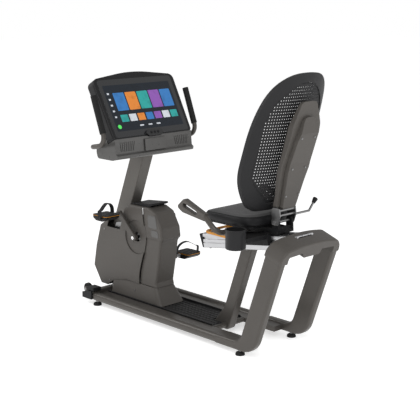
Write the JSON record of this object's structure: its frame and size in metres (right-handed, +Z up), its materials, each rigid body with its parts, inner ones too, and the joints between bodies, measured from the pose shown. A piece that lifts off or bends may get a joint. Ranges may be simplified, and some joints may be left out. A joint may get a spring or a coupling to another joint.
{
  "type": "recumbent exercise bike",
  "caption": "Recumbent exercise bike with a sliding reclining seat, housed pedal drive and a tilted touchscreen console on a mast.",
  "frame": {"origin": "floor level at the middle of the machine's length and width", "axes": "+X the way the rider faces, +Y the rider's left, +Z up"},
  "size_m": [1.6201, 0.696, 1.397],
  "materials": {
    "aluminium": "satin",
    "black_plastic": "satin",
    "chrome": "satin",
    "frame_paint": "satin",
    "glass": "satin",
    "gloss_black": "satin",
    "iron": "satin",
    "mast_paint": "satin",
    "mesh": "satin",
    "panel": "satin",
    "rubber": "satin",
    "shroud": "satin",
    "steel": "satin",
    "vinyl": "satin",
    "yellow": "satin"
  },
  "bodies": {
    "base": {"arch_cover": "shroud", "cap_panels": "panel", "centre_post": "frame_paint", "console_bars": "frame_paint", "console_glass": "glass", "console_grips": "rubber", "console_housing": "shroud", "crossbar_trim": "black_plastic", "display_module": "steel", "drive_bearings": "steel", "drive_belt": "rubber", "drive_frame": "steel", "foot_fairing": "shroud", "foot_pads": "rubber", "footwell_tray": "black_plastic", "frame_bolts": "steel", "frame_braces": "frame_paint", "front_crossbar": "frame_paint", "keypad_pod": "gloss_black", "mast": "mast_paint", "rail_trim": "black_plastic", "rear_fairing": "shroud", "rear_legs": "frame_paint", "seat_rail": "aluminium", "side_cover_left": "shroud", "side_cover_right": "shroud", "side_rails": "frame_paint", "speaker_bay": "panel", "top_cap": "shroud", "tray_deck": "black_plastic"},
    "crank": {"crank_axle": "chrome", "crank_arms": "frame_paint", "drive_pulley": "black_plastic", "pedal_spindles": "steel"},
    "flywheel": {"flywheel": "iron"},
    "pedal_left": {"pedal_left": "black_plastic", "pedal_strap_left": "black_plastic"},
    "pedal_right": {"pedal_right": "black_plastic", "pedal_strap_right": "black_plastic"},
    "wheel_left": {"transport_wheel_left": "rubber"},
    "wheel_right": {"transport_wheel_right": "rubber"},
    "key_1": {"keypad_key_1": "black_plastic"},
    "key_2": {"keypad_key_2": "black_plastic"},
    "key_3": {"keypad_key_3": "black_plastic"},
    "carriage": {"carriage": "black_plastic", "seat_plate": "black_plastic", "seat_cushion": "vinyl", "seat_arm_bar": "frame_paint", "seat_grips": "frame_paint", "cup_holder": "shroud", "back_pivot": "steel"},
    "bail": {"release_bail": "yellow"},
    "recline": {"recline_lever": "steel", "lever_knob": "black_plastic"},
    "backrest": {"back_shell": "black_plastic", "back_mesh": "mesh", "back_cover": "shroud", "back_panel": "shroud", "back_bracket": "steel"}
  },
  "joints": [
    {"name": "crank_turn", "type": "hinge", "parent": "base", "child": "crank", "pos_m": [0.412, 0, 0.421], "axis": [0, 1, 0], "continuous": true},
    {"name": "flywheel_turn", "type": "hinge", "parent": "base", "child": "flywheel", "pos_m": [0.622, 0, 0.205], "axis": [0, 1, 0], "continuous": true},
    {"name": "pedal_left_turn", "type": "hinge", "parent": "crank", "child": "pedal_left", "pos_m": [0.53115, 0.198, 0.54225], "axis": [0, 1, 0], "continuous": true},
    {"name": "wheel_left_turn", "type": "hinge", "parent": "base", "child": "wheel_left", "pos_m": [0.774, 0.15, 0.062], "axis": [0, 1, 0], "continuous": true},
    {"name": "pedal_right_turn", "type": "hinge", "parent": "crank", "child": "pedal_right", "pos_m": [0.29285, -0.198, 0.29975], "axis": [0, 1, 0], "continuous": true},
    {"name": "wheel_right_turn", "type": "hinge", "parent": "base", "child": "wheel_right", "pos_m": [0.774, -0.15, 0.062], "axis": [0, 1, 0], "continuous": true},
    {"name": "key_1_press", "type": "slide", "parent": "base", "child": "key_1", "axis": [0.8746, 0, -0.4848], "range_m": [0, 0.0015], "stiffness_N_per_m": 300},
    {"name": "key_2_press", "type": "slide", "parent": "base", "child": "key_2", "axis": [0.8746, 0, -0.4848], "range_m": [0, 0.0015], "stiffness_N_per_m": 300},
    {"name": "key_3_press", "type": "slide", "parent": "base", "child": "key_3", "axis": [0.8746, 0, -0.4848], "range_m": [0, 0.0015], "stiffness_N_per_m": 300},
    {"name": "seat_slide", "type": "slide", "parent": "base", "child": "carriage", "axis": [0.9893, 0, -0.1461], "range_m": [-0.05, 0.15]},
    {"name": "bail_lift", "type": "hinge", "parent": "carriage", "child": "bail", "pos_m": [-0.345, 0, 0.548], "axis": [0, -1, 0], "range_deg": [0, 12], "stiffness_Nm_per_rad": 12, "springref_deg": -14.32},
    {"name": "recline_lever_pull", "type": "hinge", "parent": "carriage", "child": "recline", "pos_m": [-0.59, 0, 0.684], "axis": [0, 1, 0], "range_deg": [0, 20], "stiffness_Nm_per_rad": 4, "springref_deg": -5.73},
    {"name": "backrest_recline", "type": "hinge", "parent": "carriage", "child": "backrest", "pos_m": [-0.606, 0, 0.668], "axis": [0, -1, 0], "range_deg": [0, 10]}
  ],
  "couplings": [
    {"joint": "crank_turn", "follows": "flywheel_turn", "ratio": 0.25}
  ]
}
